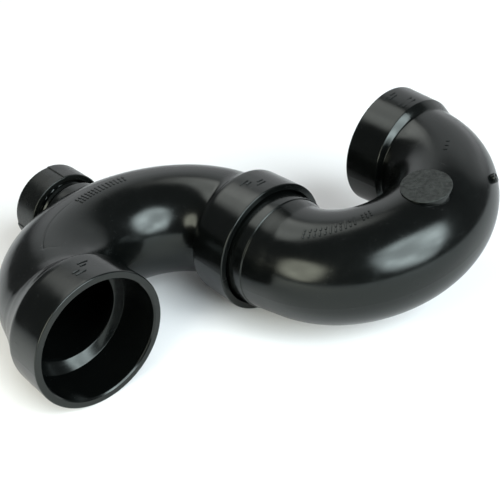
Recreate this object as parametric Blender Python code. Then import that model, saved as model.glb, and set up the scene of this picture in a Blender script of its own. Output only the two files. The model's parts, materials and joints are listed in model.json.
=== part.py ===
"""Black drain trap: a U bend with two sockets and a screw cleanout, and a return bend pushed into it.

Everything is in metres, +Z up.  The trap lies on its side, so its two legs run along Y, side by side
along X.  The origin is on the surface it lies on, under the middle of its outline.
"""

import math

import bmesh
import bpy
from mathutils import Vector

MM = 0.001

# Pipe and socket sizes, nominal 1-1/2 inch drain pipe.
SOCKET_RADIUS = 24.35 * MM
SOCKET_DEPTH = 18.7 * MM
STOP_LENGTH = 2.8 * MM          # sloping stop between the socket and the waterway
BORE_RADIUS = 20.0 * MM
TUBE_RADIUS = 22.5 * MM
HUB_LENGTH = 18.1 * MM
HUB_MOUTH_RADIUS = 27.5 * MM    # the trap bend's hubs narrow a little towards the shoulder
HUB_BACK_RADIUS = 27.0 * MM
SHOULDER_LENGTH = 4.0 * MM      # cone from the hub down to the tube
OUTLET_SOCKET_DEPTH = 15.4 * MM
OUTLET_HUB_LENGTH = 15.8 * MM
OUTLET_MOUTH_RADIUS = 26.0 * MM
OUTLET_BACK_RADIUS = 25.2 * MM
OUTLET_SHOULDER_LENGTH = 3.0 * MM

# Trap bend: half ellipse between two legs of one hub each.
TRAP_LEG = 18.5 * MM
TRAP_HALF_SPACING = 42.4 * MM
TRAP_BEND_HEIGHT = 35.3 * MM

# Outlet bend: spigot, bend, hub.  It is swivelled up from the trap bend's plane.
SPIGOT_RADIUS = 24.0 * MM
SPIGOT_INSERTED = 11.7 * MM
SPIGOT_EXPOSED = 6.8 * MM
SPIGOT_CHAMFER = 1.2 * MM
COLLAR_STEP = 0.4 * MM          # small step where the collar ends
COLLAR_TAPER = 7.0 * MM         # from the collar's end down to the plain tube
OUTLET_LEAD = 9.5 * MM
OUTLET_HALF_SPACING = 38.65 * MM
OUTLET_BEND_HEIGHT = 34.4 * MM
OUTLET_LEG = 15.8 * MM
OUTLET_SWIVEL = math.radians(11.6)

# Flat pad on the crown of the outlet bend, and the moulding gate on its outer side.
PAD_RADIUS = 10.0 * MM
PAD_HEIGHT = 23.1 * MM          # above the tube's centre line
PAD_ROOT = 16.0 * MM
PAD_AT = 0.547                  # share of the bend's centre line
PAD_OUTWARD = 1.1 * MM          # from the centre line, away from the inside of the bend
GATE_RADIUS = 2.0 * MM
GATE_HEIGHT = 24.0 * MM
GATE_AT = 0.719
GATE_TILT = math.radians(27)    # from the bend's plane, upwards

# Cleanout: heights are above the centre line at the top of the trap bend.
CLEANOUT_OFFSET = 1.6 * MM      # from the middle of the bend towards the inlet
NECK_ROOT_RADIUS = 13.4 * MM
NECK_FLARE_RADIUS = 16.4 * MM
NECK_BORE_RADIUS = 11.5 * MM
NECK_BASE = 14.0 * MM
NECK_FLARE_TOP = 23.8 * MM
NECK_END = 33.9 * MM
THREAD_PITCH = 3.0 * MM
THREAD_HEIGHT = 1.25 * MM
THREAD_START = 24.8 * MM
THREAD_STOP = 33.3 * MM
THREAD_ROWS = 8                 # rings of points in one pitch
RIDGE_BASE = 0.25               # half width of a ridge at its root, in pitches
RIDGE_FLANK = 0.15              # width of each sloping side, in pitches
CAP_MOUTH = 26.0 * MM
CAP_END = 38.9 * MM
CAP_WALL = 2.6 * MM
CAP_RADIUS = 17.4 * MM
CAP_GRIP_HEIGHT = 0.4 * MM
CAP_CHAMFER = 0.6 * MM
CAP_ROOT_RADIUS = 15.15 * MM
CAP_THREAD_START = 26.8 * MM
CAP_THREAD_STOP = 33.8 * MM
GRIP_FROM = math.radians(3)     # the grips' angles are from +Z towards +X
GRIP_SPAN = math.radians(78)
GRIP_STEP = math.radians(2)
GRIP_COLUMNS = 7
RECESS_COLUMNS = 9
RECESS_RADIUS = 9.0 * MM
RECESS_DEPTH = 1.0 * MM
WASHER_OUTER = 14.7 * MM
WASHER_INNER = 11.8 * MM
WASHER_THICKNESS = 1.8 * MM

GAP = 0.3 * MM                  # between faces that touch
SIDES = 32
BEND_RINGS = 15
PAD_SIDES = 24
GATE_SIDES = 12
OVERCUT = 2.0 * MM
PATH_POINTS = 720
SHARP_ANGLE = math.radians(32)

X_AXIS = Vector((1, 0, 0))
Y_AXIS = Vector((0, 1, 0))
Z_AXIS = Vector((0, 0, 1))


def clear_scene():
    for obj in list(bpy.data.objects):
        bpy.data.objects.remove(obj, do_unlink=True)


def plastic(name, colour, roughness):
    material = bpy.data.materials.new(name)
    material.use_nodes = True
    shader = material.node_tree.nodes["Principled BSDF"]
    shader.inputs["Base Color"].default_value = (*colour, 1)
    shader.inputs["Roughness"].default_value = roughness
    shader.inputs["Metallic"].default_value = 0
    return material


def add_object(name, bm, material=None):
    """Closed mesh with smooth round sides and sharp rims."""
    bmesh.ops.recalc_face_normals(bm, faces=bm.faces)
    mesh = bpy.data.meshes.new(name)
    bm.to_mesh(mesh)
    bm.free()
    mesh.shade_smooth()
    mesh.set_sharp_from_angle(angle=SHARP_ANGLE)
    obj = bpy.data.objects.new(name, mesh)
    bpy.context.scene.collection.objects.link(obj)
    if material:
        mesh.materials.append(material)
    return obj


class Route:
    """Centre line in the XY plane: a straight lead, half an ellipse towards +X, a straight leg."""

    def __init__(self, lead, half_spacing, height, leg, heading):
        self.lead = lead
        self.half_spacing = half_spacing
        self.height = height
        self.heading = heading
        self.points = [self.bend_point(math.pi * i / PATH_POINTS) for i in range(PATH_POINTS + 1)]
        self.lengths = [lead]
        for before, after in zip(self.points, self.points[1:]):
            self.lengths.append(self.lengths[-1] + (after - before).length)
        self.bend_end = self.lengths[-1]
        self.length = self.bend_end + leg

    def bend_point(self, angle):
        across = X_AXIS * (1 - math.cos(angle)) * self.half_spacing
        return self.heading * (self.lead + math.sin(angle) * self.height) + across

    def bend_direction(self, angle):
        across = X_AXIS * math.sin(angle) * self.half_spacing
        return (self.heading * math.cos(angle) * self.height + across).normalized()

    def at(self, distance):
        """Position and direction of travel at a distance from the route's start."""
        if distance <= self.lead:
            return self.heading * distance, self.heading
        if distance >= self.bend_end:
            return self.points[-1] - self.heading * (distance - self.bend_end), -self.heading
        i = next(k for k in range(PATH_POINTS) if self.lengths[k + 1] >= distance)
        share = (distance - self.lengths[i]) / (self.lengths[i + 1] - self.lengths[i])
        direction = self.bend_direction(math.pi * (i + share) / PATH_POINTS)
        return self.points[i].lerp(self.points[i + 1], share), direction


def loft(rings):
    """Closed solid through rings of equally many points."""
    bm = bmesh.new()
    loops = [[bm.verts.new(point) for point in ring] for ring in rings]
    for lower, upper in zip(loops, loops[1:]):
        for i in range(len(lower)):
            j = (i + 1) % len(lower)
            bm.faces.new((lower[i], lower[j], upper[j], upper[i]))
    bm.faces.new(list(reversed(loops[0])))
    bm.faces.new(loops[-1])
    return bm


def sweep(route, stations):
    """Round rings square to the route, at (distance, radius) stations."""
    rings = []
    for distance, radius in stations:
        centre, direction = route.at(distance)
        across = direction.cross(Z_AXIS)
        ring = []
        for i in range(SIDES):
            angle = 2 * math.pi * i / SIDES
            ring.append(centre + (across * math.cos(angle) + Z_AXIS * math.sin(angle)) * radius)
        rings.append(ring)
    return loft(rings)


def ridge(height, angle):
    """Share of the thread's full height at a place on a right-handed thread."""
    phase = (height / THREAD_PITCH - angle / (2 * math.pi)) % 1
    return min(1, max(0, (RIDGE_BASE - abs(phase - 0.5)) / RIDGE_FLANK))


def fade(height, start, stop):
    """The thread runs out over half a pitch at each end."""
    run_out = THREAD_PITCH / 2
    return min(1, max(0, (height - start) / run_out), max(0, (stop - height) / run_out))


def turned(angles, profile):
    """Rings about the Y axis; profile holds (height, radius) with a number or a function of the angle."""
    rings = []
    for height, radius in profile:
        ring = []
        for angle in angles:
            size = radius(angle) if callable(radius) else radius
            ring.append(Y_AXIS * height + (Z_AXIS * math.cos(angle) + X_AXIS * math.sin(angle)) * size)
        rings.append(ring)
    return loft(rings)


def thread_rows(start, stop):
    count = round((stop - start) / THREAD_PITCH * THREAD_ROWS)
    return [start + (stop - start) * i / count for i in range(count + 1)]


def even_angles(count):
    return [2 * math.pi * i / count for i in range(count)]


def combine(target, other, operation):
    """Boolean with a hidden helper that keeps its place relative to the target."""
    other.parent = target
    other.hide_render = True
    other.display_type = "WIRE"
    modifier = target.modifiers.new(other.name, "BOOLEAN")
    modifier.operation = operation
    modifier.object = other
    modifier.solver = "EXACT"


def place(obj, root, location, rotation=(0, 0, 0)):
    obj.parent = root
    obj.location = location
    obj.rotation_euler = rotation


def hub_outside(route, mouth_radius, back_radius, length, shoulder_length, from_end):
    """Stations of one hub and its shoulder, from its mouth inwards."""
    stations = [(0, mouth_radius), (length, back_radius), (length + shoulder_length, TUBE_RADIUS)]
    if from_end:
        stations = [(route.length - distance, radius) for distance, radius in reversed(stations)]
    return stations


def hub_inside(route, depth, from_end):
    """Stations of one socket and its stop, from outside its mouth inwards."""
    stop_end = depth + STOP_LENGTH
    stations = [(-OVERCUT, SOCKET_RADIUS), (depth, SOCKET_RADIUS), (stop_end, BORE_RADIUS)]
    if from_end:
        stations = [(route.length - distance, radius) for distance, radius in reversed(stations)]
    return stations


def between(first, last, radius):
    """Stations of plain tube strictly between two neighbouring stations."""
    start = first[-1][0]
    step = (last[0][0] - start) / (BEND_RINGS + 1)
    return [(start + step * (i + 1), radius) for i in range(BEND_RINGS)]


def neck_solid():
    """Solid cleanout post with a flared foot and an outside thread."""

    def threaded(height):
        lift = THREAD_HEIGHT * fade(height, THREAD_START, THREAD_STOP)
        return lambda angle: NECK_ROOT_RADIUS + lift * ridge(height, angle)

    profile = [(NECK_BASE, NECK_FLARE_RADIUS), (NECK_FLARE_TOP - 2 * MM, NECK_FLARE_RADIUS)]
    profile.append((NECK_FLARE_TOP, NECK_ROOT_RADIUS))
    profile += [(height, threaded(height)) for height in thread_rows(THREAD_START, THREAD_STOP)]
    profile.append((NECK_END, NECK_ROOT_RADIUS))
    return add_object("neck_helper", turned(even_angles(SIDES), profile))


def trap_bend(material):
    """U bend with two sockets; its own origin is at the inlet socket's mouth."""
    route = Route(TRAP_LEG, TRAP_HALF_SPACING, TRAP_BEND_HEIGHT, TRAP_LEG, Y_AXIS)
    hub = (HUB_MOUTH_RADIUS, HUB_BACK_RADIUS, HUB_LENGTH, SHOULDER_LENGTH)
    first = hub_outside(route, *hub, False)
    last = hub_outside(route, *hub, True)
    body = first + between(first, last, TUBE_RADIUS) + last
    obj = add_object("trap_bend", sweep(route, body), material)

    top = Vector((TRAP_HALF_SPACING - CLEANOUT_OFFSET, TRAP_LEG + TRAP_BEND_HEIGHT, 0))
    neck = neck_solid()
    neck.location = top
    combine(obj, neck, "UNION")

    first = hub_inside(route, SOCKET_DEPTH, False)
    last = hub_inside(route, SOCKET_DEPTH, True)
    core = first + between(first, last, BORE_RADIUS) + last
    combine(obj, add_object("trap_core_helper", sweep(route, core)), "DIFFERENCE")

    hole = turned(even_angles(SIDES), [(0, NECK_BORE_RADIUS), (NECK_END + OVERCUT, NECK_BORE_RADIUS)])
    neck_hole = add_object("neck_hole_helper", hole)
    neck_hole.location = top
    combine(obj, neck_hole, "DIFFERENCE")
    return obj, top


def post(name, sides, radius, low, high):
    """Upright prism along Z."""
    rings = []
    for height in (low, high):
        turns = even_angles(sides)
        rings.append([Vector((math.cos(a) * radius, math.sin(a) * radius, height)) for a in turns])
    return add_object(name, loft(rings))


def outlet_bend(material):
    """Return bend with a spigot and a socket; its own origin is where it enters the trap bend's hub."""
    route = Route(OUTLET_LEAD, OUTLET_HALF_SPACING, OUTLET_BEND_HEIGHT, OUTLET_LEG, -Y_AXIS)
    spigot = [
        (-SPIGOT_INSERTED, SPIGOT_RADIUS - SPIGOT_CHAMFER),
        (-SPIGOT_INSERTED + SPIGOT_CHAMFER, SPIGOT_RADIUS),
        (SPIGOT_EXPOSED, SPIGOT_RADIUS),
        (SPIGOT_EXPOSED + COLLAR_STEP, SPIGOT_RADIUS - COLLAR_STEP),
        (SPIGOT_EXPOSED + COLLAR_TAPER, TUBE_RADIUS),
    ]
    hub = (OUTLET_MOUTH_RADIUS, OUTLET_BACK_RADIUS, OUTLET_HUB_LENGTH, OUTLET_SHOULDER_LENGTH)
    last = hub_outside(route, *hub, True)
    body = spigot + between(spigot, last, TUBE_RADIUS) + last
    obj = add_object("outlet_bend", sweep(route, body), material)

    crown, along = route.at(route.lead + (route.bend_end - route.lead) * PAD_AT)
    pad = post("pad_helper", PAD_SIDES, PAD_RADIUS, PAD_ROOT, PAD_HEIGHT)
    pad.location = crown + along.cross(Z_AXIS) * PAD_OUTWARD
    combine(obj, pad, "UNION")

    gate_place, along = route.at(route.lead + (route.bend_end - route.lead) * GATE_AT)
    gate = post("gate_helper", GATE_SIDES, GATE_RADIUS, PAD_ROOT, GATE_HEIGHT)
    gate.location = gate_place
    outwards = along.cross(Z_AXIS) * math.cos(GATE_TILT) + Z_AXIS * math.sin(GATE_TILT)
    gate.rotation_euler = outwards.to_track_quat("Z", "Y").to_euler()
    combine(obj, gate, "UNION")

    first = [(-SPIGOT_INSERTED - OVERCUT, BORE_RADIUS), (OUTLET_LEAD, BORE_RADIUS)]
    last = hub_inside(route, OUTLET_SOCKET_DEPTH, True)
    core = first + between(first, last, BORE_RADIUS) + last
    combine(obj, add_object("outlet_core_helper", sweep(route, core)), "DIFFERENCE")
    return obj


def grip_angles():
    """Columns of the cap: two raised grips, each followed by a lower stretch."""
    angles = []
    recess_span = math.pi - GRIP_SPAN - 2 * GRIP_STEP
    for half in range(2):
        start = GRIP_FROM + half * math.pi
        angles += [start + GRIP_SPAN * i / GRIP_COLUMNS for i in range(GRIP_COLUMNS + 1)]
        start += GRIP_SPAN + GRIP_STEP
        angles += [start + recess_span * i / RECESS_COLUMNS for i in range(RECESS_COLUMNS + 1)]
    return angles


def on_grip(angle):
    turn = (angle - GRIP_FROM) % math.pi
    return turn <= GRIP_SPAN + 1e-6 or turn >= math.pi - 1e-6


def cleanout_cap(material):
    """Screw cap; its own origin is on its axis at the top of the trap bend's centre line."""

    def inside(height):
        lift = THREAD_HEIGHT * fade(height, CAP_THREAD_START, CAP_THREAD_STOP)
        return lambda angle: CAP_ROOT_RADIUS - lift * ridge(height + THREAD_PITCH / 2, angle)

    def outside(shrink):
        return lambda angle: CAP_RADIUS - shrink + (CAP_GRIP_HEIGHT if on_grip(angle) else 0)

    profile = [(CAP_END - CAP_WALL, CAP_ROOT_RADIUS)]
    profile += [(height, inside(height)) for height in thread_rows(CAP_THREAD_STOP, CAP_THREAD_START)]
    profile.append((CAP_MOUTH, CAP_ROOT_RADIUS + CAP_CHAMFER / 2))
    profile.append((CAP_MOUTH, outside(CAP_CHAMFER)))
    profile.append((CAP_MOUTH + CAP_CHAMFER, outside(0)))
    profile.append((CAP_END - CAP_CHAMFER, outside(0)))
    profile.append((CAP_END, outside(CAP_CHAMFER)))
    profile.append((CAP_END, RECESS_RADIUS))
    profile.append((CAP_END - RECESS_DEPTH, RECESS_RADIUS - RECESS_DEPTH))
    return add_object("cleanout_cap", turned(grip_angles(), profile), material)


def cleanout_washer(material):
    """Flat rubber ring between the neck's end and the cap."""
    low = NECK_END + GAP
    high = low + WASHER_THICKNESS
    profile = [(low, WASHER_OUTER), (high, WASHER_OUTER), (high, WASHER_INNER), (low, WASHER_INNER)]
    bm = bmesh.new()
    loops = []
    for height, radius in profile:
        turns = even_angles(SIDES)
        loops.append([bm.verts.new((math.sin(a) * radius, height, math.cos(a) * radius)) for a in turns])
    for k in range(len(loops)):
        lower, upper = loops[k], loops[(k + 1) % len(loops)]
        for i in range(SIDES):
            j = (i + 1) % SIDES
            bm.faces.new((lower[i], lower[j], upper[j], upper[i]))
    return add_object("cleanout_washer", bm, material)


def stand_on_origin(root, parts):
    """Move the root so that the origin is under the middle of the outline, on the ground."""
    bpy.context.view_layer.update()
    depsgraph = bpy.context.evaluated_depsgraph_get()
    corners = []
    for obj in parts:
        solid = obj.evaluated_get(depsgraph)
        corners += [solid.matrix_world @ vertex.co for vertex in solid.data.vertices]
    low = Vector([min(corner[i] for corner in corners) for i in range(3)])
    high = Vector([max(corner[i] for corner in corners) for i in range(3)])
    root.location = (-(low.x + high.x) / 2, -(low.y + high.y) / 2, -low.z)
    bpy.context.view_layer.update()


def main():
    clear_scene()
    root = bpy.data.objects.new("p_trap", None)
    bpy.context.scene.collection.objects.link(root)

    trap, top = trap_bend(plastic("trap_plastic", (0.030, 0.032, 0.033), 0.28))
    place(trap, root, (0, 0, 0))

    outlet = outlet_bend(plastic("outlet_plastic", (0.030, 0.032, 0.033), 0.28))
    place(outlet, root, (2 * TRAP_HALF_SPACING, 0, 0), (0, -OUTLET_SWIVEL, 0))

    cap = cleanout_cap(plastic("cap_plastic", (0.028, 0.029, 0.029), 0.38))
    place(cap, root, top)

    washer = cleanout_washer(plastic("washer_rubber", (0.045, 0.045, 0.045), 0.75))
    place(washer, root, top)

    stand_on_origin(root, (trap, outlet, cap, washer))


main()
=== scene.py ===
"""Black plastic drain trap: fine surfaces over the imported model, black ABS, soft studio light.

Metres, +Z up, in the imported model's frame.  The trap lies on the floor with its legs along Y.
"""

import json
import math
import random

import bmesh
import bpy
from mathutils import Matrix, Vector, noise


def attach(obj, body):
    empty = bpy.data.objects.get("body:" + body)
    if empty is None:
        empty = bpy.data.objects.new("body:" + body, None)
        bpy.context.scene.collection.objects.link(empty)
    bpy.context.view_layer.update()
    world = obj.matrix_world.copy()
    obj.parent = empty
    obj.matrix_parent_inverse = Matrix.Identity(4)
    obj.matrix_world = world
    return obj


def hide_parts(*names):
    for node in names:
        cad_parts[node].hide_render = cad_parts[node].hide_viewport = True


MM = 0.001

# Sockets and tubes.
SOCKET_RADIUS = 24.35 * MM
SOCKET_DEPTH = 18.7 * MM
SOCKET_TAPER = 0.12 * MM
STOP_LENGTH = 2.8 * MM
BORE_RADIUS = 20.0 * MM
TUBE_RADIUS = 22.5 * MM
HUB_LENGTH = 18.1 * MM
HUB_MOUTH_RADIUS = 27.5 * MM
HUB_BACK_RADIUS = 27.0 * MM
SHOULDER_LENGTH = 4.0 * MM
OUTLET_SOCKET_DEPTH = 15.4 * MM
OUTLET_HUB_LENGTH = 15.8 * MM
OUTLET_MOUTH_RADIUS = 26.0 * MM
OUTLET_BACK_RADIUS = 25.2 * MM
OUTLET_SHOULDER_LENGTH = 3.0 * MM
MOUTH_CHAMFER = 0.6 * MM

# Trap bend.
TRAP_LEG = 18.5 * MM
TRAP_HALF_SPACING = 42.4 * MM
TRAP_BEND_HEIGHT = 35.3 * MM

# Outlet bend.
SPIGOT_RADIUS = 24.0 * MM
SPIGOT_INSERTED = 11.7 * MM
SPIGOT_EXPOSED = 6.8 * MM
SPIGOT_CHAMFER = 1.2 * MM
COLLAR_STEP = 0.4 * MM
COLLAR_TAPER = 7.0 * MM
OUTLET_LEAD = 9.5 * MM
OUTLET_HALF_SPACING = 38.65 * MM
OUTLET_BEND_HEIGHT = 34.4 * MM
OUTLET_LEG = 15.8 * MM
OUTLET_SWIVEL = math.radians(11.6)
PAD_RADIUS = 10.0 * MM
PAD_HEIGHT = 23.1 * MM
PAD_ROOT = 16.0 * MM
PAD_AT = 0.547
PAD_OUTWARD = 1.1 * MM
GATE_RADIUS = 2.0 * MM
GATE_HEIGHT = 24.0 * MM
GATE_AT = 0.719
GATE_TILT = math.radians(27)

# Cleanout, measured from the centre line at the top of the trap bend.
NECK_ROOT_RADIUS = 13.4 * MM
NECK_FLARE_RADIUS = 16.3 * MM
NECK_BORE_RADIUS = 11.5 * MM
NECK_BASE = 14.0 * MM
NECK_FLARE_TOP = 23.8 * MM
NECK_END = 33.9 * MM
THREAD_PITCH = 3.0 * MM
THREAD_HEIGHT = 1.2 * MM
THREAD_START = 24.8 * MM
THREAD_STOP = 33.3 * MM
THREAD_ROWS = 20
CAP_MOUTH = 26.0 * MM
CAP_END = 38.9 * MM
CAP_WALL = 2.6 * MM
CAP_RADIUS = 17.4 * MM
CAP_GRIP_HEIGHT = 0.4 * MM
CAP_ROOT_RADIUS = 15.15 * MM
CAP_THREAD_START = 26.8 * MM
CAP_THREAD_STOP = 33.8 * MM
GRIP_FROM = math.radians(3)
GRIP_SPAN = math.radians(78)
GRIP_STEP = math.radians(2)
RECESS_RADIUS = 9.0 * MM
RECESS_DEPTH = 1.0 * MM
WASHER_OUTER = 14.7 * MM
WASHER_INNER = 11.8 * MM
WASHER_THICKNESS = 1.8 * MM
GAP = 0.3 * MM

# Fineness.
SIDES = 144
ALONG = 1.5 * MM
FILLET_STEPS = 5                # in a right angle
PATH_POINTS = 1440
TURNED_SIDES = 180
FACE_AREA_WEIGHT = 60

X_AXIS = Vector((1, 0, 0))
Y_AXIS = Vector((0, 1, 0))
Z_AXIS = Vector((0, 0, 1))


# --- Mesh tools ---------------------------------------------------------------------------------


def make_object(name, bm):
    bmesh.ops.recalc_face_normals(bm, faces=bm.faces)
    mesh = bpy.data.meshes.new(name)
    bm.to_mesh(mesh)
    bm.free()
    obj = bpy.data.objects.new(name, mesh)
    bpy.context.scene.collection.objects.link(obj)
    return obj


def smooth(obj, degrees=34):
    """Smooth shading with edges over that many degrees kept sharp."""
    obj.data.shade_smooth()
    obj.data.set_sharp_from_angle(angle=math.radians(degrees))
    modifier = obj.modifiers.new("weighted", "WEIGHTED_NORMAL")
    modifier.keep_sharp = True
    modifier.weight = FACE_AREA_WEIGHT
    bake(obj)


def bake(obj):
    """Replace the mesh by the evaluated one."""
    depsgraph = bpy.context.evaluated_depsgraph_get()
    mesh = bpy.data.meshes.new_from_object(obj.evaluated_get(depsgraph))
    mesh.name = obj.name
    obj.modifiers.clear()
    obj.data = mesh


def cut(target, other, operation):
    """Boolean, applied at once; the other object is removed."""
    bpy.context.view_layer.update()
    modifier = target.modifiers.new("cut", "BOOLEAN")
    modifier.operation = operation
    modifier.object = other
    modifier.solver = "EXACT"
    bake(target)
    bpy.data.objects.remove(other, do_unlink=True)


def loft(rings, closed=False):
    """Skin through rings of equally many points; closed joins the last ring to the first."""
    bm = bmesh.new()
    loops = [[bm.verts.new(point) for point in ring] for ring in rings]
    pairs = list(zip(loops, loops[1:]))
    if closed:
        pairs.append((loops[-1], loops[0]))
    for lower, upper in pairs:
        for i in range(len(lower)):
            j = (i + 1) % len(lower)
            bm.faces.new((lower[i], lower[j], upper[j], upper[i]))
    if not closed:
        bm.faces.new(list(reversed(loops[0])))
        bm.faces.new(loops[-1])
    return bm


def rounded(corners, closed=False):
    """Polyline with its corners rounded; corners holds (along, radius, fillet radius)."""
    count = len(corners)
    line = []
    for i, (along, radius, fillet) in enumerate(corners):
        here = Vector((along, radius))
        if fillet <= 0 or (not closed and i in (0, count - 1)):
            line.append(here)
            continue
        before = Vector(corners[i - 1][:2]) - here
        after = Vector(corners[(i + 1) % count][:2]) - here
        half = before.angle(after) / 2
        if half > math.radians(89):
            line.append(here)
            continue
        reach = min(fillet / math.tan(half), 0.45 * before.length, 0.45 * after.length)
        size = reach * math.tan(half)
        inwards = (before.normalized() + after.normalized()).normalized()
        centre = here + inwards * size / math.sin(half)
        first = (here + before.normalized() * reach - centre).normalized()
        last = (here + after.normalized() * reach - centre).normalized()
        steps = max(2, round(FILLET_STEPS * (math.pi - 2 * half) / (math.pi / 2)))
        for k in range(steps + 1):
            line.append(centre + first.slerp(last, k / steps) * size)
    return line


def spaced(line, largest, closed=False):
    """Add points so that no step is longer than the largest."""
    pairs = list(zip(line, line[1:]))
    if closed:
        pairs.append((line[-1], line[0]))
    points = []
    for start, end in pairs:
        parts = max(1, math.ceil((end - start).length / largest))
        points += [start.lerp(end, k / parts) for k in range(parts)]
    if not closed:
        points.append(line[-1])
    return points


def even_angles(count):
    return [2 * math.pi * i / count for i in range(count)]


def turned(profile, angles, radius_at, closed=False):
    """Solid of rings about Y; profile holds (height, radius)."""
    rings = []
    for height, radius in profile:
        ring = []
        for angle in angles:
            size = radius_at(height, radius, angle)
            ray = Z_AXIS * math.cos(angle) + X_AXIS * math.sin(angle)
            ring.append(Y_AXIS * height + ray * size)
        rings.append(ring)
    return loft(rings, closed)


def plain(height, radius, angle):
    return radius


def smoothstep(low, high, value):
    share = min(1, max(0, (value - low) / (high - low)))
    return share * share * (3 - 2 * share)


# --- Centre lines -------------------------------------------------------------------------------


class Route:
    """Centre line in the XY plane: a straight lead, half an ellipse, a straight leg."""

    def __init__(self, lead, half_spacing, height, leg, heading):
        self.lead = lead
        self.half_spacing = half_spacing
        self.height = height
        self.heading = heading
        self.points = [self.bend_point(math.pi * i / PATH_POINTS) for i in range(PATH_POINTS + 1)]
        self.lengths = [lead]
        for before, after in zip(self.points, self.points[1:]):
            self.lengths.append(self.lengths[-1] + (after - before).length)
        self.bend_end = self.lengths[-1]
        self.length = self.bend_end + leg

    def bend_point(self, angle):
        across = X_AXIS * (1 - math.cos(angle)) * self.half_spacing
        return self.heading * (self.lead + math.sin(angle) * self.height) + across

    def bend_direction(self, angle):
        across = X_AXIS * math.sin(angle) * self.half_spacing
        return (self.heading * math.cos(angle) * self.height + across).normalized()

    def at(self, distance):
        if distance <= self.lead:
            return self.heading * distance, self.heading
        if distance >= self.bend_end:
            return self.points[-1] - self.heading * (distance - self.bend_end), -self.heading
        low, high = 0, PATH_POINTS
        while high - low > 1:
            middle = (low + high) // 2
            if self.lengths[middle] <= distance:
                low = middle
            else:
                high = middle
        share = (distance - self.lengths[low]) / (self.lengths[high] - self.lengths[low])
        direction = self.bend_direction(math.pi * (low + share) / PATH_POINTS)
        return self.points[low].lerp(self.points[high], share), direction

    def surface(self, distance, angle, radius):
        """Point on a tube around the route; angle 0 is outside the bend, 90 degrees is +Z."""
        centre, direction = self.at(distance)
        across = direction.cross(Z_AXIS)
        return centre + (across * math.cos(angle) + Z_AXIS * math.sin(angle)) * radius


TRAP_ROUTE = Route(TRAP_LEG, TRAP_HALF_SPACING, TRAP_BEND_HEIGHT, TRAP_LEG, Y_AXIS)
OUTLET_ROUTE = Route(OUTLET_LEAD, OUTLET_HALF_SPACING, OUTLET_BEND_HEIGHT, OUTLET_LEG, -Y_AXIS)


# --- Bends --------------------------------------------------------------------------------------

SEAM_OFFSETS = [math.radians(degrees) for degrees in (-1.1, -0.55, 0, 0.55, 1.1)]
SEAM_HEIGHT = 0.035 * MM
INSERT_ANGLE = math.radians(96)
INSERT_FROM = 34.0 * MM
INSERT_TO = 71.0 * MM
INSERT_CROSS = (math.radians(81), math.radians(98))
INSERT_DEPTH = 0.14 * MM
INSERT_HALF_WIDTH = 0.55 * MM
WAVE_SIZE = 26 * MM
WAVE_HEIGHT = 0.09 * MM
RIPPLE_SIZE = 7 * MM
RIPPLE_HEIGHT = 0.018 * MM


def column_angles():
    """Even columns, with closer ones on the mould seams and on the insert's edge."""
    extra = [seam + offset for seam in (0, math.pi) for offset in SEAM_OFFSETS]
    extra += [INSERT_ANGLE + math.radians(d) for d in (-1.4, -0.9, -0.45, 0, 0.45, 0.9, 1.4)]
    spare = math.radians(0.5)
    angles = [a for a in even_angles(SIDES) if min(abs(a - e) for e in extra) > spare]
    return sorted(a % (2 * math.pi) for a in angles + extra)


def unevenness(point):
    """Slight waviness of a moulded wall."""
    wave = noise.noise(point / WAVE_SIZE) * WAVE_HEIGHT
    return wave + noise.noise(point / RIPPLE_SIZE + Vector((7, 3, 1))) * RIPPLE_HEIGHT


def seam(angle):
    nearest = min(abs(angle), abs(angle - math.pi), abs(angle - 2 * math.pi))
    return SEAM_HEIGHT * max(0, 1 - nearest / math.radians(0.9))


def insert_line(distance, angle):
    """Shallow witness line of the marking insert on the trap bend's crown."""
    along = 0
    if INSERT_FROM <= distance <= INSERT_TO:
        off = abs(angle - INSERT_ANGLE) * TUBE_RADIUS
        run_out = smoothstep(INSERT_TO, INSERT_TO - 12 * MM, distance)
        along = max(0, 1 - off / INSERT_HALF_WIDTH) * run_out
    across = 0
    if INSERT_CROSS[0] <= angle <= INSERT_CROSS[1]:
        across = 0.35 * max(0, 1 - abs(distance - INSERT_FROM) / INSERT_HALF_WIDTH)
    return -INSERT_DEPTH * max(along, across)


def bend_solid(name, route, profile, outside_count, with_insert):
    """Closed hollow bend; profile goes along the outside and back along the inside."""
    angles = column_angles()
    rings = []
    for k, (distance, radius) in enumerate(profile):
        centre, direction = route.at(distance)
        across = direction.cross(Z_AXIS)
        outside = k < outside_count
        ring = []
        for angle in angles:
            ray = across * math.cos(angle) + Z_AXIS * math.sin(angle)
            size = radius + unevenness(centre + ray * radius)
            if outside:
                size += seam(angle)
                if with_insert:
                    size += insert_line(distance, angle)
            ring.append(centre + ray * size)
        rings.append(ring)
    return make_object(name, loft(rings, closed=True))


def socket_inside(mouth, sign, depth, stop_fillet=0.7 * MM):
    """Corners from a socket's mouth inwards; sign is the direction of travel."""
    return [
        (mouth, SOCKET_RADIUS + MOUTH_CHAMFER, 0.25 * MM),
        (mouth + sign * MOUTH_CHAMFER, SOCKET_RADIUS, 0.3 * MM),
        (mouth + sign * depth, SOCKET_RADIUS - SOCKET_TAPER, 0.35 * MM),
        (mouth + sign * (depth + STOP_LENGTH), BORE_RADIUS, stop_fillet),
    ]


def hub_corners(mouth, sign, mouth_radius, back_radius, hub_length, shoulder, back_fillet):
    """Corners from a hub's mouth inwards along its outside."""
    return [
        (mouth, mouth_radius, 0.55 * MM),
        (mouth + sign * (hub_length - 0.3 * back_fillet), back_radius, back_fillet),
        (mouth + sign * (hub_length + shoulder + 0.3 * back_fillet), TUBE_RADIUS, 3 * back_fillet),
    ]


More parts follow.
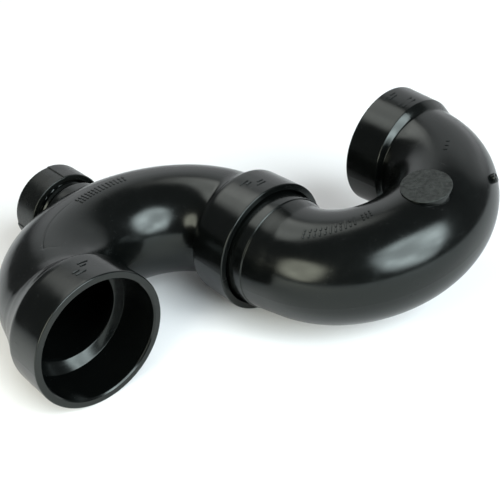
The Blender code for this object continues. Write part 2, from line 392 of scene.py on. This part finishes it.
def closed_profile(outside, inside):
    """Rounded and evenly spaced points, and how many of them lie on the outside."""
    corners = outside + inside
    line = rounded(corners, closed=True)
    points = spaced(line, ALONG, closed=True)
    turn = Vector(inside[0][:2])
    outside_count = min(range(len(points)), key=lambda k: (points[k] - turn).length)
    return points, outside_count


def with_rings_at(points, outside_count, distances):
    """Extra rings on the outside of the tube, for narrow marks across it."""
    out = list(points[:outside_count])
    for distance in distances:
        at = next(k for k in range(1, len(out)) if out[k].x > distance)
        before, after = out[at - 1], out[at]
        out.insert(at, before.lerp(after, (distance - before.x) / (after.x - before.x)))
    return out + list(points[outside_count:]), len(out)


def neck_profile():
    corners = [
        (NECK_BASE, NECK_FLARE_RADIUS, 0),
        (NECK_FLARE_TOP - 3.2 * MM, NECK_FLARE_RADIUS, 1.0 * MM),
        (NECK_FLARE_TOP - 0.6 * MM, NECK_ROOT_RADIUS, 2.4 * MM),
        (THREAD_START - 0.2 * MM, NECK_ROOT_RADIUS, 0),
    ]
    line = spaced(rounded(corners), 0.6 * MM)
    rows = round((THREAD_STOP - THREAD_START) / THREAD_PITCH * THREAD_ROWS)
    step = (THREAD_STOP - THREAD_START) / rows
    line += [Vector((THREAD_START + step * k, NECK_ROOT_RADIUS)) for k in range(rows + 1)]
    end = [
        (THREAD_STOP + 0.1 * MM, NECK_ROOT_RADIUS, 0),
        (NECK_END, NECK_ROOT_RADIUS, 0.35 * MM),
        (NECK_END, 1 * MM, 0),
    ]
    return line + rounded(end)


def ridge(height, angle):
    """Share of the full height of a right-handed thread, with soft flanks."""
    phase = (height / THREAD_PITCH - angle / (2 * math.pi)) % 1
    return smoothstep(0, 1, min(1, max(0, (0.27 - abs(phase - 0.5)) / 0.17)))


def fade(height, start, stop):
    run_out = THREAD_PITCH / 2
    return min(1, max(0, (height - start) / run_out), max(0, (stop - height) / run_out))


def neck_radius(height, radius, angle):
    return radius + THREAD_HEIGHT * fade(height, THREAD_START, THREAD_STOP) * ridge(height, angle)


def make_trap_bend(place, cleanout):
    hub = (HUB_MOUTH_RADIUS, HUB_BACK_RADIUS, HUB_LENGTH, SHOULDER_LENGTH)
    length = TRAP_ROUTE.length
    outside = hub_corners(0, 1, *hub, 3.2 * MM)
    outside += list(reversed(hub_corners(length, -1, *hub, 2.4 * MM)))
    inside = socket_inside(length, -1, SOCKET_DEPTH)
    inside += list(reversed(socket_inside(0, 1, SOCKET_DEPTH)))
    points, count = closed_profile(outside, inside)
    lines = [INSERT_FROM + offset * MM for offset in (-0.4, -0.2, 0, 0.2, 0.4)]
    points, count = with_rings_at(points, count, lines)
    obj = bend_solid("trap_bend_moulding", TRAP_ROUTE, points, count, True)
    obj.location = place

    foot = make_object("neck_tool", turned(neck_profile(), even_angles(TURNED_SIDES), neck_radius))
    foot.location = cleanout
    cut(obj, foot, "UNION")

    length = TRAP_ROUTE.length
    core_from = SOCKET_DEPTH + STOP_LENGTH + 1.5 * MM
    core = [(core_from + (length - 2 * core_from) * k / 90, BORE_RADIUS) for k in range(91)]
    angles = even_angles(96)
    rings = [[TRAP_ROUTE.surface(d, a, r) for a in angles] for d, r in core]
    waterway = make_object("core_tool", loft(rings))
    waterway.location = place
    cut(obj, waterway, "DIFFERENCE")

    hole_line = [Vector((0, NECK_BORE_RADIUS)), Vector((NECK_END - 0.4 * MM, NECK_BORE_RADIUS)),
                 Vector((NECK_END + 1 * MM, NECK_BORE_RADIUS + 1.4 * MM))]
    hole = make_object("hole_tool", turned(hole_line, even_angles(TURNED_SIDES), plain))
    hole.location = cleanout
    cut(obj, hole, "DIFFERENCE")
    smooth(obj)
    return obj


def disc(name, radius, low, high, sides, fillet, rough):
    """Upright pad along Z with a rounded top edge and a slightly uneven top."""
    corners = [(low, radius, 0), (high, radius, fillet), (high, 0.2 * MM, 0)]
    line = spaced(rounded(corners), 0.7 * MM)
    rings = []
    for height, size in line:
        ring = []
        for angle in even_angles(sides):
            point = Vector((math.cos(angle) * size, math.sin(angle) * size, height))
            if size < radius - fillet:
                point.z += noise.noise(point * 420) * rough
            ring.append(point)
        rings.append(ring)
    return make_object(name, loft(rings))


def make_outlet_bend(place):
    length = OUTLET_ROUTE.length
    outside = [
        (-SPIGOT_INSERTED, SPIGOT_RADIUS - SPIGOT_CHAMFER, 0.3 * MM),
        (-SPIGOT_INSERTED + SPIGOT_CHAMFER, SPIGOT_RADIUS, 0.3 * MM),
        (SPIGOT_EXPOSED, SPIGOT_RADIUS, 0.22 * MM),
        (SPIGOT_EXPOSED + COLLAR_STEP, SPIGOT_RADIUS - COLLAR_STEP, 0.3 * MM),
        (SPIGOT_EXPOSED + COLLAR_TAPER, TUBE_RADIUS, 9 * MM),
    ]
    hub = (OUTLET_MOUTH_RADIUS, OUTLET_BACK_RADIUS, OUTLET_HUB_LENGTH, OUTLET_SHOULDER_LENGTH)
    outside += list(reversed(hub_corners(length, -1, *hub, 0.6 * MM)))
    inside = socket_inside(length, -1, OUTLET_SOCKET_DEPTH)
    inside.append((-SPIGOT_INSERTED, BORE_RADIUS, 0.4 * MM))
    points, count = closed_profile(outside, inside)
    obj = bend_solid("outlet_bend_moulding", OUTLET_ROUTE, points, count, False)
    turn = Matrix.Rotation(-OUTLET_SWIVEL, 3, "Y")
    obj.data.transform(Matrix.Translation(place) @ turn.to_4x4())

    bend_length = OUTLET_ROUTE.bend_end - OUTLET_ROUTE.lead
    crown, along = OUTLET_ROUTE.at(OUTLET_ROUTE.lead + bend_length * PAD_AT)
    crown = crown + along.cross(Z_AXIS) * PAD_OUTWARD
    pad = disc("pad_tool", PAD_RADIUS, PAD_ROOT, PAD_HEIGHT, 120, 0.35 * MM, 0.10 * MM)
    pad.location = place + turn @ crown
    pad.rotation_euler = (0, -OUTLET_SWIVEL, 0)
    cut(obj, pad, "UNION")

    stub_at, along = OUTLET_ROUTE.at(OUTLET_ROUTE.lead + bend_length * GATE_AT)
    outwards = along.cross(Z_AXIS) * math.cos(GATE_TILT) + Z_AXIS * math.sin(GATE_TILT)
    stub = disc("gate_tool", GATE_RADIUS, PAD_ROOT + 5 * MM, GATE_HEIGHT, 48, 0.2 * MM, 0.5 * MM)
    stub.rotation_euler = (turn @ outwards).to_track_quat("Z", "Y").to_euler()
    stub.location = place + turn @ stub_at
    cut(obj, stub, "UNION")

    smooth(obj)
    return obj, place + turn @ crown, turn


# --- Cleanout cap and washer --------------------------------------------------------------------


def grip_share(angle):
    turn = (angle - GRIP_FROM) % math.pi
    rise = smoothstep(math.pi - GRIP_STEP, math.pi, turn)
    fall = 1 - smoothstep(GRIP_SPAN, GRIP_SPAN + GRIP_STEP, turn)
    return max(rise, fall)


def cap_angles():
    angles = even_angles(TURNED_SIDES)
    for half in (0, math.pi):
        for start in (GRIP_FROM - GRIP_STEP, GRIP_FROM + GRIP_SPAN):
            angles += [start + half + GRIP_STEP * k / 6 for k in range(7)]
    angles = sorted(a % (2 * math.pi) for a in angles)
    kept = [angles[0]]
    for angle in angles[1:]:
        if angle - kept[-1] > math.radians(0.12):
            kept.append(angle)
    return kept


def cap_radius(height, radius, angle):
    if radius > CAP_ROOT_RADIUS + 1 * MM:
        edge = min(1, max(0, radius - CAP_ROOT_RADIUS - 1 * MM) / (0.8 * MM))
        return radius + CAP_GRIP_HEIGHT * grip_share(angle) * edge
    lift = THREAD_HEIGHT * fade(height, CAP_THREAD_START, CAP_THREAD_STOP)
    if radius > CAP_ROOT_RADIUS - 0.1 * MM:
        return radius - lift * ridge(height + THREAD_PITCH / 2, angle)
    return radius


def make_cap(place):
    inner_top = CAP_END - CAP_WALL
    rows = round((CAP_THREAD_STOP - CAP_THREAD_START) / THREAD_PITCH * THREAD_ROWS)
    step = (CAP_THREAD_STOP - CAP_THREAD_START) / rows
    ceiling = [
        (inner_top, 0.3 * MM, 0),
        (inner_top, CAP_ROOT_RADIUS, 0.5 * MM),
        (CAP_THREAD_STOP + 0.1 * MM, CAP_ROOT_RADIUS, 0),
    ]
    line = spaced(rounded(ceiling), 1.0 * MM)
    line += [Vector((CAP_THREAD_STOP - step * k, CAP_ROOT_RADIUS)) for k in range(rows + 1)]
    shell = [
        (CAP_THREAD_START - 0.1 * MM, CAP_ROOT_RADIUS, 0),
        (CAP_MOUTH, CAP_ROOT_RADIUS + 0.3 * MM, 0.3 * MM),
        (CAP_MOUTH, CAP_RADIUS, 0.5 * MM),
        (CAP_END, CAP_RADIUS, 0.8 * MM),
        (CAP_END, RECESS_RADIUS, 0.3 * MM),
        (CAP_END - RECESS_DEPTH, RECESS_RADIUS - RECESS_DEPTH, 0.4 * MM),
        (CAP_END - RECESS_DEPTH, 1.6 * MM, 0.3 * MM),
        (CAP_END - RECESS_DEPTH + 0.35 * MM, 1.2 * MM, 0.2 * MM),
        (CAP_END - RECESS_DEPTH + 0.35 * MM, 0.2 * MM, 0),
    ]
    line += spaced(rounded(shell), 0.9 * MM)
    obj = make_object("cleanout_cap_moulding", turned(line, cap_angles(), cap_radius))
    obj.location = place
    smooth(obj, 40)
    return obj


def make_washer(place):
    low = NECK_END + GAP
    high = low + WASHER_THICKNESS
    fillet = 0.35 * MM
    corners = [(low, WASHER_OUTER, fillet), (high, WASHER_OUTER, fillet),
               (high, WASHER_INNER, fillet), (low, WASHER_INNER, fillet)]
    line = spaced(rounded(corners, closed=True), 0.6 * MM, closed=True)
    obj = make_object("cleanout_washer_ring", turned(line, even_angles(144), plain, closed=True))
    obj.location = place
    smooth(obj)
    return obj


# --- Raised moulding marks ----------------------------------------------------------------------

MARK_HEIGHT = 0.32 * MM
MARK_SINK = 0.25 * MM
MARK_PITCH = 1.75 * MM
END_STEPS = 8                   # points around the round end of a bar
ROW_WIDTH = 0.85 * MM
ACROSS = math.radians(90)       # bars stand across the tube


def stroke(bm, route, radius_at, middle, length, width, slant):
    """One raised bar with round ends; middle is (distance, angle) on the route's surface."""
    distance, angle = middle
    outline = []
    for end in (1, -1):
        for k in range(END_STEPS + 1):
            turn = math.pi * (k / END_STEPS - 0.5)
            outline.append((end * (length / 2 - width / 2 + math.cos(turn) * width / 2),
                            end * math.sin(turn) * width / 2))
    loops = []
    for shrink, lift in ((1.0, -MARK_SINK), (1.0, 0.55 * MARK_HEIGHT), (0.72, MARK_HEIGHT)):
        loop = []
        for along, side in outline:
            s = along * math.cos(slant) - side * shrink * math.sin(slant)
            t = along * math.sin(slant) + side * shrink * math.cos(slant)
            radius = radius_at(distance + s)
            point = route.surface(distance + s, angle + t / radius, radius + lift)
            loop.append(bm.verts.new(point))
        loops.append(loop)
    for lower, upper in zip(loops, loops[1:]):
        for i in range(len(lower)):
            j = (i + 1) % len(lower)
            bm.faces.new((lower[i], lower[j], upper[j], upper[i]))
    bm.faces.new(list(reversed(loops[0])))
    bm.faces.new(loops[-1])


def tube_radius(distance):
    return TUBE_RADIUS


def mark_row(bm, route, start, end, height, rng):
    """A row of plain bars and dots that stands where the real moulding carries its marking."""
    first, first_angle = start
    last, last_angle = end
    distance = first
    while distance < last:
        angle = first_angle + (last_angle - first_angle) * (distance - first) / (last - first)
        kind = rng.choice(("bar", "pair", "pair", "dots"))
        if kind == "bar":
            stroke(bm, route, tube_radius, (distance, angle), height, ROW_WIDTH, ACROSS)
        elif kind == "pair":
            for side in (-1, 1):
                middle = (distance, angle + side * height / 3.5 / TUBE_RADIUS)
                stroke(bm, route, tube_radius, middle, height * 0.42, ROW_WIDTH, ACROSS)
        else:
            for side in (-1, 0, 1):
                middle = (distance, angle + side * height / 2.8 / TUBE_RADIUS)
                stroke(bm, route, tube_radius, middle, height * 0.25, ROW_WIDTH, ACROSS)
        distance += MARK_PITCH


def trap_marks(place):
    bm = bmesh.new()
    rng = random.Random(4)
    first, last = (68 * MM, math.radians(91)), (91 * MM, math.radians(95))
    mark_row(bm, TRAP_ROUTE, first, last, 4.2 * MM, rng)
    for mouth, sign in ((0, 1), (TRAP_ROUTE.length, -1)):
        def hub_radius(distance, mouth=mouth):
            share = abs(distance - mouth) / HUB_LENGTH
            return HUB_MOUTH_RADIUS + (HUB_BACK_RADIUS - HUB_MOUTH_RADIUS) * min(1, share)
        for along, turn, size in ((11.6, 82, 4.4), (9.8, 84, 2.6), (8.0, 93, 3.0), (6.2, 91, 4.4)):
            middle = (mouth + sign * along * MM, math.radians(turn))
            stroke(bm, TRAP_ROUTE, hub_radius, middle, size * MM, 0.8 * MM, ACROSS)
    obj = make_object("trap_bend_marks", bm)
    obj.location = place
    smooth(obj, 50)
    return obj


def outlet_marks(place):
    bm = bmesh.new()
    rng = random.Random(9)
    first, last = (22.5 * MM, math.radians(76)), (41 * MM, math.radians(91))
    mark_row(bm, OUTLET_ROUTE, first, last, 4.2 * MM, rng)
    first, last = (43.5 * MM, math.radians(93)), (48 * MM, math.radians(97))
    mark_row(bm, OUTLET_ROUTE, first, last, 4.0 * MM, rng)
    for along, turn in ((100.5, 81), (98, 83), (95.5, 85)):
        middle = (along * MM, math.radians(turn))
        stroke(bm, OUTLET_ROUTE, tube_radius, middle, 1.5 * MM, 0.6 * MM, ACROSS)

    length = OUTLET_ROUTE.length

    def hub_radius(distance):
        share = (length - distance) / OUTLET_HUB_LENGTH
        return OUTLET_MOUTH_RADIUS + (OUTLET_BACK_RADIUS - OUTLET_MOUTH_RADIUS) * min(1, share)

    bars = ((3.2, 92, 2.6), (3.2, 82, 3.0), (5.0, 86, 4.4), (10.6, 84, 8.6), (12.8, 84, 8.0))
    for along, turn, size in bars:
        middle = (length - along * MM, math.radians(turn))
        stroke(bm, OUTLET_ROUTE, hub_radius, middle, size * MM, 0.7 * MM, ACROSS)
    obj = make_object("outlet_bend_marks", bm)
    obj.data.transform(Matrix.Translation(place) @ Matrix.Rotation(-OUTLET_SWIVEL, 4, "Y"))
    smooth(obj, 50)
    return obj


# --- Materials ----------------------------------------------------------------------------------


GREENISH = (0.93, 1.0, 0.955, 1)    # tint of the plastic's reflections


def set_range(node, low, high, to_low, to_high):
    """Ends of a Map Range node."""
    node.inputs["From Min"].default_value = low
    node.inputs["From Max"].default_value = high
    node.inputs["To Min"].default_value = to_low
    node.inputs["To Max"].default_value = to_high


class Nodes:
    """Short way to add shader nodes and join them."""

    def __init__(self, name):
        self.material = bpy.data.materials.new(name)
        self.material.use_nodes = True
        self.tree = self.material.node_tree
        self.shader = self.tree.nodes["Principled BSDF"]
        self.place = self.add("ShaderNodeTexCoord").outputs["Object"]

    def add(self, kind, **values):
        node = self.tree.nodes.new(kind)
        for key, value in values.items():
            setattr(node, key, value)
        return node

    def put(self, value, socket):
        if isinstance(value, bpy.types.NodeSocket):
            self.tree.links.new(value, socket)
        else:
            socket.default_value = value

    def noise(self, scale, detail=4.0, roughness=0.5, stretch=None, distortion=0.0):
        place = self.place
        if stretch:
            mapping = self.add("ShaderNodeMapping")
            self.put(place, mapping.inputs["Vector"])
            mapping.inputs["Scale"].default_value = stretch[0]
            mapping.inputs["Rotation"].default_value = stretch[1]
            place = mapping.outputs["Vector"]
        node = self.add("ShaderNodeTexNoise")
        self.put(place, node.inputs["Vector"])
        node.inputs["Scale"].default_value = scale
        node.inputs["Detail"].default_value = detail
        node.inputs["Roughness"].default_value = roughness
        node.inputs["Distortion"].default_value = distortion
        return node.outputs["Fac"]

    def cells(self, scale, randomness=1.0):
        node = self.add("ShaderNodeTexVoronoi")
        self.put(self.place, node.inputs["Vector"])
        node.inputs["Scale"].default_value = scale
        node.inputs["Randomness"].default_value = randomness
        return node.outputs["Distance"]

    def remap(self, value, low, high, to_low=0.0, to_high=1.0):
        node = self.add("ShaderNodeMapRange")
        self.put(value, node.inputs["Value"])
        set_range(node, low, high, to_low, to_high)
        return node.outputs["Result"]

    def math(self, operation, first, second):
        node = self.add("ShaderNodeMath", operation=operation)
        self.put(first, node.inputs[0])
        self.put(second, node.inputs[1])
        return node.outputs["Value"]

    def bump(self, height, distance, strength=1.0, under=None):
        node = self.add("ShaderNodeBump")
        self.put(height, node.inputs["Height"])
        node.inputs["Distance"].default_value = distance
        node.inputs["Strength"].default_value = strength
        if under is not None:
            self.put(under, node.inputs["Normal"])
        return node.outputs["Normal"]

    def set(self, name, value):
        self.put(value, self.shader.inputs[name])


def shade(nodes, share, first, second):
    """Colour mix by identifier, because the mix node holds several sockets of one name."""
    node = nodes.add("ShaderNodeMix", data_type="RGBA")
    sockets = {socket.identifier: socket for socket in node.inputs}
    nodes.put(share, sockets["Factor_Float"])
    nodes.put(first, sockets["A_Color"])
    nodes.put(second, sockets["B_Color"])
    return {socket.identifier: socket for socket in node.outputs}["Result_Color"]


def black_plastic(name, deep, worn, gloss):
    """Injection-moulded black plastic: cloudy gloss, fine scratches, dust specks, paler edges."""
    n = Nodes(name)
    cloud = n.noise(38, 5, 0.55)
    smudge = n.noise(120, 6, 0.6, distortion=0.4)
    grain = n.noise(1400, 3, 0.6)
    peel = n.noise(300, 2, 0.5)
    scratch_a = n.noise(60, 2, 0.5, stretch=((1.5, 26, 26), (0.3, 0.5, 0.9)))
    scratch_b = n.noise(55, 2, 0.5, stretch=((24, 1.2, 24), (0.9, 0.2, 0.4)))
    scratched = n.math("MAXIMUM", n.remap(scratch_a, 0.655, 0.70), n.remap(scratch_b, 0.66, 0.705))
    scratched = n.math("MULTIPLY", scratched, n.remap(smudge, 0.45, 0.65))
    speck = n.remap(n.cells(520), 0.07, 0.035)
    speck = n.math("MULTIPLY", speck, n.remap(n.noise(230, 2), 0.60, 0.66))

    geometry = n.add("ShaderNodeNewGeometry")
    edge = n.remap(geometry.outputs["Pointiness"], 0.505, 0.56)
    edge = n.math("MULTIPLY", edge, n.remap(cloud, 0.35, 0.65, 0.35, 1.0))

    colour = shade(n, n.remap(cloud, 0.35, 0.68), (*deep, 1), (*[c * 1.35 for c in deep], 1))
    colour = shade(n, n.math("MULTIPLY", edge, 0.6), colour, (*worn, 1))
    colour = shade(n, n.math("MULTIPLY", scratched, 0.25), colour, (*worn, 1))
    colour = shade(n, n.math("MULTIPLY", speck, 0.5), colour, (0.11, 0.105, 0.10, 1))
    n.set("Base Color", colour)

    rough = n.remap(smudge, 0.3, 0.72, gloss[0], gloss[1])
    rough = n.math("ADD", rough, n.remap(grain, 0.3, 0.7, -0.012, 0.012))
    rough = n.math("ADD", rough, n.math("MULTIPLY", scratched, 0.10))
    rough = n.math("ADD", rough, n.math("MULTIPLY", edge, 0.06))
    n.set("Roughness", rough)
    n.set("IOR", 1.38)
    glance = n.add("ShaderNodeLayerWeight").outputs["Facing"]
    n.set("Specular IOR Level", n.remap(glance, 0.5, 0.85, 0.5, 0.09))
    n.set("Specular Tint", GREENISH)

    normal = n.bump(peel, 0.010 * MM, 0.5)
    normal = n.bump(grain, 0.004 * MM, 0.5, normal)
    normal = n.bump(scratched, -0.008 * MM, 0.6, normal)
    n.set("Normal", normal)
    return n.material


def trimmed_plastic(name):
    """Matt, trimmed face of the moulding pad."""
    n = Nodes(name)
    dark, light = (0.004, 0.0045, 0.0042, 1), (0.016, 0.018, 0.016, 1)
    mottle = n.noise(640, 5, 0.75)
    pits = n.noise(1200, 3, 0.6)
    cloud = n.noise(160, 4, 0.5)
    colour = shade(n, n.remap(mottle, 0.40, 0.62), dark, light)
    colour = shade(n, n.remap(cloud, 0.45, 0.7, 0, 0.4), colour, (0.018, 0.020, 0.018, 1))
    n.set("Base Color", colour)
    n.set("Roughness", n.remap(mottle, 0.35, 0.65, 0.38, 0.60))
    n.set("Specular IOR Level", n.remap(mottle, 0.40, 0.60, 0.24, 0.50))
    n.set("Specular Tint", GREENISH)
    normal = n.bump(mottle, 0.7 * MM, 0.9)
    normal = n.bump(pits, 0.25 * MM, 0.9, normal)
    n.set("Normal", normal)
    return n.material


def rubber(name):
    n = Nodes(name)
    grain = n.noise(2200, 5, 0.65)
    cloud = n.noise(180, 4, 0.5)
    dark, pale = (0.018, 0.018, 0.018, 1), (0.032, 0.032, 0.031, 1)
    colour = shade(n, n.remap(cloud, 0.35, 0.7), dark, pale)
    n.set("Base Color", colour)
    n.set("Roughness", n.remap(grain, 0.3, 0.7, 0.6, 0.8))
    n.set("Normal", n.bump(grain, 0.02 * MM, 0.5))
    return n.material


def pale_floor(name):
    n = Nodes(name)
    cloud = n.noise(3.0, 4, 0.5)
    dull, clean = (0.80, 0.80, 0.79, 1), (0.83, 0.83, 0.82, 1)
    n.set("Base Color", shade(n, n.remap(cloud, 0.3, 0.7), dull, clean))
    n.set("Roughness", 0.85)
    n.set("Normal", n.bump(n.noise(600, 4, 0.6), 0.03 * MM, 0.3))
    return n.material


# --- Light, floor and camera --------------------------------------------------------------------


def light_math(tree, operation, first, second):
    node = tree.nodes.new("ShaderNodeMath")
    node.operation = operation
    tree.links.new(first, node.inputs[0])
    if isinstance(second, bpy.types.NodeSocket):
        tree.links.new(second, node.inputs[1])
    else:
        node.inputs[1].default_value = second
    return node.outputs["Value"]


def light_range(tree, value, low, high, to_low, to_high):
    node = tree.nodes.new("ShaderNodeMapRange")
    node.interpolation_type = "SMOOTHSTEP"
    tree.links.new(value, node.inputs["Value"])
    set_range(node, low, high, to_low, to_high)
    return node.outputs["Result"]


def softbox(name, aim, azimuth, elevation, distance, width, height, radiance, colour, cloudy=0.3):
    """Area light seen from aim in a direction, fading to its rim; azimuth is from +Y towards +X."""
    a, e = math.radians(azimuth), math.radians(elevation)
    away = Vector((math.sin(a) * math.cos(e), math.cos(a) * math.cos(e), math.sin(e)))
    light = bpy.data.lights.new(name, "AREA")
    light.shape = "RECTANGLE"
    light.size = width
    light.size_y = height
    light.energy = radiance * width * height * math.pi
    light.color = colour
    light.use_nodes = True
    tree = light.node_tree
    place = tree.nodes.new("ShaderNodeNewGeometry").outputs["Parametric"]
    parts = tree.nodes.new("ShaderNodeSeparateXYZ")
    tree.links.new(place, parts.inputs["Vector"])
    shares = []
    for axis in ("X", "Y"):
        off = light_math(tree, "SUBTRACT", parts.outputs[axis], 0.5)
        shares.append(light_math(tree, "POWER", light_math(tree, "ABSOLUTE", off, 0), 3))
    rim = light_range(tree, light_math(tree, "ADD", *shares), 0.005, 0.125, 1, 0)
    cloud = tree.nodes.new("ShaderNodeTexNoise")
    tree.links.new(place, cloud.inputs["Vector"])
    cloud.inputs["Scale"].default_value = 2.6
    cloud.inputs["Detail"].default_value = 3
    patchy = light_range(tree, cloud.outputs["Fac"], 0.38, 0.62, 1 - cloudy, 1)
    strength = light_math(tree, "MULTIPLY", rim, patchy)
    tree.links.new(strength, tree.nodes["Emission"].inputs["Strength"])
    obj = bpy.data.objects.new(name, light)
    obj.location = aim + away * distance
    obj.rotation_euler = away.to_track_quat("Z", "Y").to_euler()
    bpy.context.scene.collection.objects.link(obj)


def make_world(level):
    world = bpy.data.worlds.new("studio")
    world.use_nodes = True
    background = world.node_tree.nodes["Background"]
    background.inputs["Color"].default_value = (0.93, 0.97, 1.0, 1)
    background.inputs["Strength"].default_value = level
    bpy.context.scene.world = world


def make_floor():
    bm = bmesh.new()
    size = 4.0
    corners = ((-1, -1), (1, -1), (1, 1), (-1, 1))
    bm.faces.new([bm.verts.new((x * size, y * size, 0)) for x, y in corners])
    floor = make_object("floor", bm)
    floor.data.materials.append(pale_floor("pale_floor_paint"))


# The camera stands this far from the floor point under the middle of the inlet's mouth.
CAMERA_FROM_INLET = Vector((-152.745, -251.124, 261.528)) * MM
CAMERA_AZIMUTH = math.radians(41.930)
CAMERA_DOWN = math.radians(34.221)
CAMERA_ROLL = math.radians(-1.613)
CAMERA_LENS = 74.66
CAMERA_SENSOR = 36.0


def make_camera(inlet):
    forward = Vector((math.sin(CAMERA_AZIMUTH) * math.cos(CAMERA_DOWN),
                      math.cos(CAMERA_AZIMUTH) * math.cos(CAMERA_DOWN), -math.sin(CAMERA_DOWN)))
    level = Vector((math.cos(CAMERA_AZIMUTH), -math.sin(CAMERA_AZIMUTH), 0))
    top = level.cross(forward)
    right = level * math.cos(CAMERA_ROLL) + top * math.sin(CAMERA_ROLL)
    up = top * math.cos(CAMERA_ROLL) - level * math.sin(CAMERA_ROLL)
    data = bpy.data.cameras.new("camera")
    data.lens = CAMERA_LENS
    data.sensor_width = CAMERA_SENSOR
    data.clip_start = 0.01
    data.clip_end = 20
    camera = bpy.data.objects.new("camera", data)
    turn = Matrix((right, up, -forward)).transposed()
    camera.matrix_world = Matrix.Translation(inlet + CAMERA_FROM_INLET) @ turn.to_4x4()
    bpy.context.scene.collection.objects.link(camera)
    bpy.context.scene.camera = camera


# --- Build --------------------------------------------------------------------------------------


def joint_place(name):
    joint = next(j for j in frame["joints"] if j["name"] == name)
    return Vector(joint["pos_m"])


def give(obj, material):
    obj.data.materials.clear()
    obj.data.materials.append(material)


def trim_pad(obj, crown, turn, material):
    """The pad's flat top gets the trimmed finish."""
    obj.data.materials.append(material)
    up = turn @ Z_AXIS
    for polygon in obj.data.polygons:
        offset = polygon.center - crown
        height = offset.dot(up)
        if (offset - up * height).length < PAD_RADIUS and height > PAD_HEIGHT - 0.25 * MM:
            polygon.material_index = 1


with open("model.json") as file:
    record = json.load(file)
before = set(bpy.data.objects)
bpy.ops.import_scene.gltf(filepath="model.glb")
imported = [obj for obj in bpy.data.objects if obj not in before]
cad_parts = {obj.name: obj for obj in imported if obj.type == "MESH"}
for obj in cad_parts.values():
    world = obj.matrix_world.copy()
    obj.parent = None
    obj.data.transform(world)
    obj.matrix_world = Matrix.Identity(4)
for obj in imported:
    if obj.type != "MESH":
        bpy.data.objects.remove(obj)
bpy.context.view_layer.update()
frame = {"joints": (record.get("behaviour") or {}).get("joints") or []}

bpy.context.scene.view_settings.view_transform = "Standard"

swivel = joint_place("outlet_swivel")
cap_axis = joint_place("cap_unscrew")
inlet = swivel - X_AXIS * 2 * TRAP_HALF_SPACING

# Deep colour, worn edge colour, and the range of roughness.
BEND_FINISH = ((0.0014, 0.0017, 0.0016), (0.008, 0.009, 0.009), (0.13, 0.22))
CAP_FINISH = ((0.0020, 0.0023, 0.0021), (0.011, 0.012, 0.011), (0.22, 0.33))
trap_material = black_plastic("trap_black_abs", *BEND_FINISH)
outlet_material = black_plastic("outlet_black_abs", *BEND_FINISH)
cap_material = black_plastic("cap_black_abs", *CAP_FINISH)

trap = make_trap_bend(inlet, cap_axis)
give(trap, trap_material)
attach(trap, "trap_bend")
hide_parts("trap_bend")

outlet, crown_point, outlet_turn = make_outlet_bend(swivel)
bpy.context.view_layer.update()
give(outlet, outlet_material)
trim_pad(outlet, crown_point, outlet_turn, trimmed_plastic("trimmed_black_abs"))
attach(outlet, "outlet_bend")
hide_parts("outlet_bend")

cap = make_cap(cap_axis)
give(cap, cap_material)
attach(cap, "cleanout_cap")
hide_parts("cleanout_cap")

washer = make_washer(cap_axis)
give(washer, rubber("black_rubber"))
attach(washer, "cleanout_washer")
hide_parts("cleanout_washer")

marks = trap_marks(inlet)
give(marks, trap_material)
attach(marks, "trap_bend")

marks = outlet_marks(swivel)
give(marks, outlet_material)
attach(marks, "outlet_bend")

make_floor()
make_world(0.15)
# Azimuth, elevation, distance, width, height, radiance, colour.
centre = Vector((0, 0, 0.03))
spigot_side = Vector((0.043, -0.050, 0.035))
softbox("window_key", centre, 180, 33, 1.5, 1.55, 1.60, 17.0, (0.86, 0.95, 1.0), 0.55)
softbox("window_side", spigot_side, -93, 18, 0.40, 0.27, 0.28, 8.0, (1.0, 0.97, 0.83))
softbox("ceiling_back", centre, -4, 57, 1.4, 1.35, 0.95, 4.0, (1.0, 1.0, 0.98))
softbox("wall_back", centre, 58, 22, 1.5, 3.6, 1.9, 1.15, (0.95, 0.98, 1.0))
make_camera(Vector((inlet.x, inlet.y, 0)))
